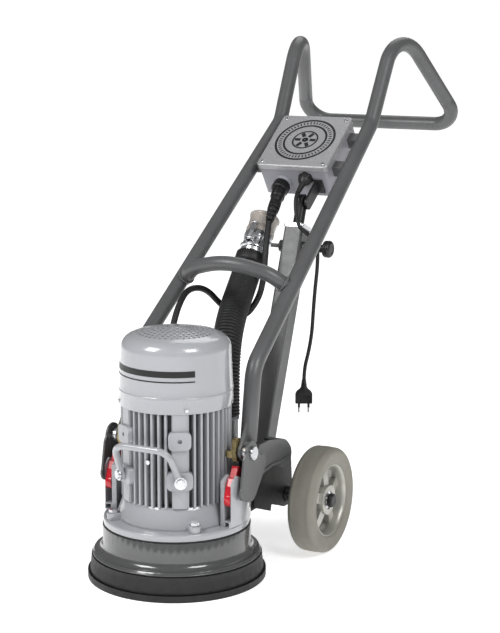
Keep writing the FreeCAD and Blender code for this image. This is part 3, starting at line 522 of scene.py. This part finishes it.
def evenly(points, step):
    """Points at even distances along a polyline."""
    total = length_of(points)
    count = max(2, round(total / step))
    targets = [total * n / count for n in range(count + 1)]
    found = []
    travelled = 0.0
    segments = iter(zip(points, points[1:]))
    start, end = next(segments)
    for target in targets:
        while travelled + (end - start).length < target - 1e-9:
            travelled += (end - start).length
            start, end = next(segments)
        share = (target - travelled) / max((end - start).length, 1e-9)
        found.append(start.lerp(end, min(1.0, share)))
    return found


def skin_along(name, points, radius_at, sides):
    """A closed round skin on a line, with a radius for each point."""
    ahead = (points[1] - points[0]).normalized()
    across = ahead.orthogonal().normalized()
    vertices = []
    for n, point in enumerate(points):
        before = points[max(n - 1, 0)]
        after = points[min(n + 1, len(points) - 1)]
        ahead = (after - before).normalized()
        across = (across - ahead * across.dot(ahead)).normalized()
        up = ahead.cross(across)
        for side in range(sides):
            angle = 2 * math.pi * side / sides
            reach = across * math.cos(angle) + up * math.sin(angle)
            vertices.append(point + reach * radius_at(n))
    faces = []
    for n in range(len(points) - 1):
        for side in range(sides):
            a = n * sides + side
            b = n * sides + (side + 1) % sides
            faces.append((a, b, b + sides, a + sides))
    last = (len(points) - 1) * sides
    faces.append(tuple(reversed(range(sides))))
    faces.append(tuple(range(last, last + sides)))
    mesh = bpy.data.meshes.new(name)
    mesh.from_pydata([tuple(v) for v in vertices], [], faces)
    mesh.update()
    piece = bpy.data.objects.new(name, mesh)
    bpy.context.scene.collection.objects.link(piece)
    only(piece)
    bpy.ops.object.shade_smooth_by_angle(angle=math.radians(50))
    return piece


# %% Ribbed dust hose
HOSE_RADIUS = 28.5 * MM
RIB_PITCH = 6.4 * MM
RINGS_PER_RIB = 8

hose_guide = spline_through("hose_guide", HOSE_ROUTE)
hose_line = evenly(line_of(hose_guide), RIB_PITCH / RINGS_PER_RIB)
bpy.data.objects.remove(hose_guide)


def rib_radius(n):
    """Round ribs with narrow valleys between them."""
    phase = (n % RINGS_PER_RIB) / RINGS_PER_RIB
    return HOSE_RADIUS - 2.6 * MM * (1 - math.sqrt(abs(math.sin(math.pi * phase))))


hose = skin_along("dust_hose", hose_line, rib_radius, 56)
hand_over(hose, "dust_hose", None, "black_rubber", "hose")
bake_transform(hose)
print("hose length", round(length_of(hose_line), 3))

# %% Motor cable
CABLE_RADIUS = 6.0 * MM

cable_guide = spline_through("cable_guide", MOTOR_CABLE_ROUTE)
cable_line = evenly(line_of(cable_guide), 4 * MM)
bpy.data.objects.remove(cable_guide)
motor_cable = skin_along("motor_lead", cable_line, lambda n: CABLE_RADIUS, 24)
hand_over(motor_cable, "motor_lead", None, "black_rubber", "motor_cable")
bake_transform(motor_cable)
print("motor cable length", round(length_of(cable_line), 3))

# %% Supply cord
CORD_RADIUS = 3.75 * MM

supply = spline_through("supply_lead", CORD_ROUTE)
cord_guide = spline_through("cord_guide", CORD_ROUTE)
cord_length = length_of(line_of(cord_guide))
supply.data.bevel_depth = CORD_RADIUS
supply.data.bevel_resolution = 6
supply.data.use_fill_caps = True
hand_over(supply, "supply_lead", "handle", "black_rubber", "supply_cord")
print("supply cord length", round(cord_length, 3))

# %% [markdown]
# ## Strain relief, plug and gland
# Where the cord leaves the gland a ribbed rubber sleeve keeps it from kinking. It follows the cord's
# own line, so its skin is built on the same spline, from wide to narrow, in steps. The plug is a
# flat two-pin type, drawn from a block whose top is extruded and narrowed towards the cord.

# %% Ribbed strain relief on the supply cord
RELIEF_LENGTH = 28 * MM
relief_line = [point for point in evenly(line_of(cord_guide), 1.0 * MM)]
relief_line = relief_line[: round(RELIEF_LENGTH / MM) + 1]
bpy.data.objects.remove(cord_guide)


def relief_radius(n):
    """A taper from 6.4 to 4.1 mm with a groove every fourth millimetre."""
    taper = 6.4 - 2.3 * n / len(relief_line)
    return (taper - (0.8 if n % 4 in (2, 3) else 0.0)) * MM


relief = skin_along("cord_relief", relief_line, relief_radius, 28)
hand_over(relief, "cord_relief", "handle", "black_rubber")

# %% Gland nut
BOX_FRAME = Matrix.Translation(from_axis(0, 463.1, 700.1)) @ Matrix.Rotation(BOX_PITCH, 4, "X")
TOWARDS_BOX = Matrix.Rotation(-math.pi / 2, 4, "X")
GLAND_FRAME = BOX_FRAME @ Matrix.Translation((26 * MM, 0, -30 * MM)) @ TOWARDS_BOX
gland_base = stacked(6, [(-4, 15.8), (2, 15.8)])
gland_dome = stacked(40, [(-20, 5.2), (-18, 7.4), (-14, 10.6), (-10, 12.6), (-4, 13.2), (-3, 13.2)])
pick_faces(gland_dome, lambda face: abs(face.normal.z) < 0.3 and face.index % 2 == 0)
bpy.ops.mesh.inset(thickness=0.2 * MM, depth=0.5 * MM, use_individual=True)
bpy.ops.object.mode_set(mode="OBJECT")
soften_edges(gland_base, 1.0)
soften_edges(gland_dome, 0.3)
gland = put(joined(gland_base, gland_dome), GLAND_FRAME)
hand_over(gland, "gland_nut", "handle", "black_plastic", "cord_gland")
print("gland made")

# %% Two-pin plug
PLUG_FRAME = Matrix.Translation(from_axis(*CORD_ROUTE[-1])) @ Matrix.Rotation(math.radians(27), 4, "Z")
bpy.ops.object.select_all(action="DESELECT")
bpy.ops.mesh.primitive_cube_add(size=1, location=(0, 0, -28 * MM), scale=(34 * MM, 15 * MM, 19 * MM))
plug_body = bpy.context.object
settle(plug_body)
pick_faces(plug_body, lambda face: face.normal.z > 0.9)
for rise, narrow in ((5, 0.84), (5, 0.6), (4, 0.62)):
    bpy.ops.mesh.extrude_region_move(TRANSFORM_OT_translate={"value": (0, 0, rise * MM)})
    bpy.ops.transform.resize(value=(narrow, 0.9, 1))
bpy.ops.object.mode_set(mode="OBJECT")
pick_faces(plug_body, lambda face: abs(face.normal.y) > 0.95 and face.center.z < -20 * MM)
bpy.ops.mesh.inset(thickness=3.2 * MM, depth=-0.9 * MM, use_individual=True)
bpy.ops.object.mode_set(mode="OBJECT")
soften_edges(plug_body, 1.7, 4)
plug_neck = stacked(
    32,
    [(-10, 7.4), (-7.5, 7.4), (-7.3, 5.6), (-5.8, 5.6), (-5.6, 6.7), (-3.4, 6.7), (-3.2, 5.2),
     (-1.8, 5.2), (-1.6, 6.1), (0.6, 6.1), (0.8, 4.9), (2.2, 4.9), (2.4, 5.5), (4.6, 5.5),
     (4.8, 4.5), (6.2, 4.5), (6.4, 5.0), (10, 4.6)],
)
soften_edges(plug_neck, 0.25)
sleeves = []
pins = []
for side in (-9.5, 9.5):
    sleeve = stacked(20, [(-46, 2.4), (-36, 2.6)])
    put(sleeve, Matrix.Translation((side * MM, 0, 0)))
    sleeves.append(sleeve)
    pin = stacked(20, [(-57, 0.9), (-56.4, 1.8), (-55.4, 2.3), (-45, 2.3)])
    put(pin, Matrix.Translation((side * MM, 0, 0)))
    soften_edges(pin, 0.1)
    pins.append(pin)
plug = put(joined(plug_body, plug_neck, *sleeves), PLUG_FRAME)
hand_over(plug, "plug_body", "handle", "black_plastic", "mains_plug")
plug_pins = put(joined(*pins), PLUG_FRAME)
hand_over(plug_pins, "plug_pins", "handle", "zinc_steel")
print("plug made")

# %% [markdown]
# ## The motor's plug
# A heavy coupling with a knurled ring screws onto the box, and its shank leans down towards the
# cable. The knurls are every second face of a cylinder, inset and lifted. The shank is one stack of
# rings, with a hexagonal clamping nut in the middle and a rubber boot below.

# %% Motor plug
SOCKET_FRAME = BOX_FRAME @ Matrix.Translation((-28 * MM, 0, -45 * MM)) @ TOWARDS_BOX
knurled = stacked(48, [(-25, 15.5), (-23, 17.2), (-9, 17.2), (-7, 16.0), (-6, 16.0)])
pick_faces(
    knurled, lambda face: abs(face.normal.z) < 0.3 and face.index % 2 == 0 and face.area > 0.2e-4
)
bpy.ops.mesh.inset(thickness=0.25 * MM, depth=1.1 * MM, use_individual=True)
bpy.ops.object.mode_set(mode="OBJECT")
soften_edges(knurled, 0.3)
put(knurled, SOCKET_FRAME)
heart = BOX_FRAME @ Vector((-28 * MM, -16 * MM, -45 * MM))
along = from_axis(-15, 400, 596) - heart
reach = along.length / MM
SHANK_FRAME = Matrix.Translation(heart) @ along.to_track_quat("Z", "Y").to_matrix().to_4x4()
shank = stacked(
    40,
    [(2, 14.0), (0.3 * reach, 14.4), (0.32 * reach, 12.2), (0.42 * reach, 11.8),
     (0.44 * reach, 10.8), (0.66 * reach, 10.6), (0.68 * reach, 11.4), (0.72 * reach, 11.4),
     (0.74 * reach, 9.2), (0.79 * reach, 9.2), (0.8 * reach, 10.2), (0.84 * reach, 10.0),
     (0.85 * reach, 8.4), (0.9 * reach, 8.4), (0.91 * reach, 9.2), (0.95 * reach, 8.9),
     (0.96 * reach, 7.6), (1.0 * reach, 7.4)],
)
soften_edges(shank, 0.4)
clamp_nut = stacked(8, [(0.46 * reach, 13.0), (0.64 * reach, 13.0)])
soften_edges(clamp_nut, 1.2, 3)
bpy.ops.object.select_all(action="DESELECT")
bpy.ops.mesh.primitive_cube_add(
    size=1, location=(0, 0, 0.2 * reach * MM), scale=(9 * MM, 32 * MM, 0.16 * reach * MM)
)
latch_bar = bpy.context.object
settle(latch_bar)
soften_edges(latch_bar, 1.6, 3)
put(joined(shank, clamp_nut, latch_bar), SHANK_FRAME)
motor_plug = joined(knurled, shank)
hand_over(motor_plug, "motor_coupler", "handle", "black_plastic", "motor_plug")
screw = stacked(20, [(0, 3.2), (1.6, 3.2), (2.4, 2.4)])
soften_edges(screw, 0.3)
put(screw, SHANK_FRAME @ Matrix.Translation((0, -16 * MM, 0.2 * reach * MM)) @ Matrix.Rotation(math.pi / 2, 4, "X"))
hand_over(screw, "coupler_screw", "handle", "zinc_steel")
print("motor plug reach", round(reach, 1), "mm")

# %% [markdown]
# ## Brush ring
# The rim that meets the floor is a ring of close bristle tufts. One tuft is a small six-sided peg that
# spreads a little at its tip. It is copied round the ring, each with its own mesh, in front of a
# backing band.

# %% Bristle tufts and their backing
RING_RADIUS = (rim_high.x - rim_low.x) / 2 / MM
RING_TOP = rim_high.z / MM
TUFTS = 250
tuft = stacked(6, [(0.0, 2.1), (RING_TOP - 2.0, 1.75), (RING_TOP, 1.75)])
put(tuft, Matrix.Translation(((RING_RADIUS - 2.15) * MM, 0, 0)))
tufts = copies_round(tuft, TUFTS, MOTOR_AXIS)
bpy.ops.object.select_all(action="DESELECT")
bpy.ops.mesh.primitive_circle_add(vertices=160, radius=(RING_RADIUS - 2.6) * MM, fill_type="NOTHING")
backing = bpy.context.object
bpy.ops.object.mode_set(mode="EDIT")
bpy.ops.mesh.select_mode(type="VERT")
bpy.ops.mesh.select_all(action="SELECT")
bpy.ops.mesh.extrude_region_move(TRANSFORM_OT_translate={"value": (0, 0, RING_TOP * MM)})
bpy.ops.object.mode_set(mode="OBJECT")
wall = backing.modifiers.new("wall", "SOLIDIFY")
wall.thickness = 5 * MM
wall.offset = -1
bpy.ops.object.modifier_apply(modifier="wall")
put(backing, Matrix.Translation(MOTOR_AXIS))
only(backing)
bpy.ops.object.shade_smooth_by_angle(angle=math.radians(40))
brush = joined(backing, tufts)
hand_over(brush, "bristle_ring", "chassis", "black_rubber", "brush_rim")
print("tufts:", TUFTS)

# %% [markdown]
# ## Printed marks
# The lid carries a round printed mark: rings, a scale of ticks, and a picture of the segmented tool
# under the machine. The cowl carries two plain stripes. Both are thin films standing a little proud
# of the paint, because a print has an edge of its own.

# %% Round mark on the lid
MARK_MIDDLE = BOX_FRAME @ Matrix.Translation((0, 82 * MM, 0.05 * MM))
FILM = 0.25


def film_ring(inner, outer):
    """A flat printed ring."""
    bpy.ops.object.select_all(action="DESELECT")
    bpy.ops.mesh.primitive_circle_add(vertices=96, radius=inner * MM, fill_type="NOTHING")
    ring = bpy.context.object
    bpy.ops.object.mode_set(mode="EDIT")
    bpy.ops.mesh.select_mode(type="VERT")
    bpy.ops.mesh.select_all(action="SELECT")
    bpy.ops.mesh.extrude_region_move()
    bpy.ops.transform.resize(value=(outer / inner, outer / inner, 1), center_override=(0, 0, 0))
    bpy.ops.mesh.extrude_region_move(TRANSFORM_OT_translate={"value": (0, 0, -FILM * MM)})
    bpy.ops.object.mode_set(mode="OBJECT")
    only(ring)
    lift = ring.modifiers.new("lift", "SOLIDIFY")
    lift.thickness = 0.05 * MM
    bpy.ops.object.modifier_apply(modifier="lift")
    put(ring, Matrix.Translation((0, 0, FILM * MM)))
    return ring


def film_block(near, far, width):
    """A flat printed bar that points outwards."""
    bpy.ops.object.select_all(action="DESELECT")
    bpy.ops.mesh.primitive_cube_add(
        size=1, location=((near + far) / 2 * MM, 0, FILM / 2 * MM),
        scale=((far - near) * MM, width * MM, FILM * MM),
    )
    bar = bpy.context.object
    settle(bar)
    soften_edges(bar, 0.06, 1)
    return bar


nowhere = Vector((0, 0, 0))
mark = joined(
    film_ring(58.8, 63.5), film_ring(42.0, 46.4), film_ring(24.2, 27.6),
    copies_round(film_block(49.5, 56, 2.6), 48, nowhere),
    copies_round(film_block(10, 23, 7.6), 6, nowhere),
    copies_round(film_block(1, 6.5, 6), 6, nowhere),
)
put(mark, MARK_MIDDLE)
hand_over(mark, "lid_mark", "handle", "black_plastic")

# %% Stripes on the cowl
def cowl_radius(z):
    """The cowl's wall leans in from 101.8 mm at a height of 348 to 98.6 mm at 418."""
    return 101.8 - 3.2 * (z - 348) / 70


def stripe(low, high, from_degrees, to_degrees):
    """A band of film round the front of the cowl, angles counted from the machine's front."""
    steps = round((to_degrees - from_degrees) / 1.5)
    bpy.ops.object.select_all(action="DESELECT")
    bpy.ops.mesh.primitive_grid_add(x_subdivisions=steps, y_subdivisions=1, size=1)
    band = bpy.context.object
    for point in band.data.vertices:
        share, up = point.co.x + 0.5, point.co.y + 0.5
        turn = math.radians(from_degrees + (to_degrees - from_degrees) * share)
        height = low + (high - low) * up
        reach_out = (cowl_radius(height) + 0.28) * MM
        point.co = (reach_out * math.sin(turn), -reach_out * math.cos(turn), height * MM)
    only(band)
    film = band.modifiers.new("film", "SOLIDIFY")
    film.thickness = 0.25 * MM
    film.offset = 0
    bpy.ops.object.modifier_apply(modifier="film")
    bpy.ops.object.shade_smooth_by_angle(angle=math.radians(30))
    return put(band, Matrix.Translation(MOTOR_AXIS))


stripes = joined(stripe(384, 395, -58, 49), stripe(375, 377.2, -58, 49))
hand_over(stripes, "cowl_stripes", "chassis", "black_plastic")
print("marks made")

# %% [markdown]
# ## Weld beads
# The bow and the tubes are welded together. A bead is a torus whose section is swollen in a steady
# ripple, as each small melt pool froze over the last.

# %% Weld beads
def weld_bead(name, place, direction, major, body):
    """A rippled bead round a tube's end."""
    bpy.ops.object.select_all(action="DESELECT")
    bpy.ops.mesh.primitive_torus_add(
        major_radius=major * MM, minor_radius=2.1 * MM, major_segments=96, minor_segments=10
    )
    bead = bpy.context.object
    for point in bead.data.vertices:
        angle = math.atan2(point.co.y, point.co.x)
        middle = Vector((math.cos(angle), math.sin(angle), 0)) * major * MM
        swell = 1 + 0.18 * math.sin(angle * 24)
        point.co = middle + (point.co - middle) * swell
    only(bead)
    bpy.ops.object.shade_smooth_by_angle(angle=math.radians(60))
    put(bead, Matrix.Translation(from_axis(*place)) @ Vector(direction).to_track_quat("Z", "Y").to_matrix().to_4x4())
    return hand_over(bead, name, body, "dark_grey_paint")


for side, label in ((1, "right"), (-1, "left")):
    weld_bead("bow_weld_" + label, (side * 103, 223.3, 505.7), (-35 * side, -20, 28.5), 14.6, "handle")
print("welds made")

# %% [markdown]
# ## Stage
# A white studio: a pale floor, an even sky for soft fill, and two large lamps in front whose
# reflections draw the curved hood and motor.

# %% Floor and sky
SKY_FILL = 0.2

bpy.ops.mesh.primitive_plane_add(size=24, location=(0, 0, -0.0005))
floor = bpy.context.object
floor.name = "studio_floor"
floor_finish, floor_tree, floor_shader, floor_place = new_finish("studio white")
floor_shader.inputs["Base Color"].default_value = (0.94, 0.94, 0.945, 1)
floor_shader.inputs["Roughness"].default_value = 0.95
floor_shader.inputs["Specular IOR Level"].default_value = 0.05
# Painted light: the floor glows, weaker near the machine and stronger far out, so the distant floor reads white.
floor_shader.inputs["Emission Color"].default_value = (1, 1, 1, 1)
floor_reach = floor_tree.nodes.new("ShaderNodeVectorMath")
floor_reach.operation = "LENGTH"
floor_tree.links.new(floor_place, floor_reach.inputs[0])
floor_glow = add_range(floor_tree, floor_reach.outputs["Value"], 0.58, 0.92, 0.5, 1.8)
floor_tree.links.new(floor_glow, floor_shader.inputs["Emission Strength"])
floor.data.materials.append(floor_finish)

world = bpy.data.worlds.new("studio sky")
bpy.context.scene.world = world
world.use_nodes = True
sky_tree = world.node_tree
sky = sky_tree.nodes["Background"]
sky.inputs["Color"].default_value = (1, 1, 1, 1)
sky.inputs["Strength"].default_value = SKY_FILL
seen_sky = sky_tree.nodes.new("ShaderNodeBackground")
seen_sky.inputs["Color"].default_value = (1, 1, 1, 1)
ray = sky_tree.nodes.new("ShaderNodeLightPath")
choice = sky_tree.nodes.new("ShaderNodeMixShader")
sky_tree.links.new(ray.outputs["Is Camera Ray"], choice.inputs["Fac"])
sky_tree.links.new(sky.outputs["Background"], choice.inputs[1])
sky_tree.links.new(seen_sky.outputs["Background"], choice.inputs[2])
sky_tree.links.new(choice.outputs["Shader"], sky_tree.nodes["World Output"].inputs["Surface"])

# %% Lamps
def add_lamp(name, azimuth, elevation, distance, size, power):
    """A square softbox on a circle round the machine, facing its middle."""
    aim = Vector((0, -0.15, 0.35))
    turn, rise = math.radians(azimuth), math.radians(elevation)
    out = Vector((
        math.sin(turn) * math.cos(rise), -math.cos(turn) * math.cos(rise), math.sin(rise)
    ))
    lamp = bpy.data.lights.new(name, "AREA")
    lamp.size = size
    lamp.energy = power
    holder = bpy.data.objects.new(name, lamp)
    holder.location = aim + out * distance
    holder.rotation_euler = (-out).to_track_quat("-Z", "Y").to_euler()
    bpy.context.scene.collection.objects.link(holder)


add_lamp("softbox_left", -27, 40, 2.6, 0.95, 38)
add_lamp("softbox_right", 60, 40, 2.6, 0.95, 31)
add_lamp("softbox_back", 190, 50, 3.0, 1.6, 15)
bpy.context.scene.view_settings.view_transform = "Standard"

# %% Camera
AIM = Vector((-0.039, -0.033, 0.409))
AZIMUTH = math.radians(27.16)
ELEVATION = math.radians(10.74)
DISTANCE = 3.259

camera_data = bpy.data.cameras.new("camera")
camera_data.lens = 93.75
camera_data.sensor_width = 36
camera = bpy.data.objects.new("camera", camera_data)
away = Vector((
    math.sin(AZIMUTH) * math.cos(ELEVATION),
    -math.cos(AZIMUTH) * math.cos(ELEVATION),
    math.sin(ELEVATION),
))
camera.location = AIM + away * DISTANCE
camera.rotation_euler = (math.pi / 2 - ELEVATION, math.radians(-0.13), AZIMUTH)
bpy.context.scene.collection.objects.link(camera)
bpy.context.scene.camera = camera
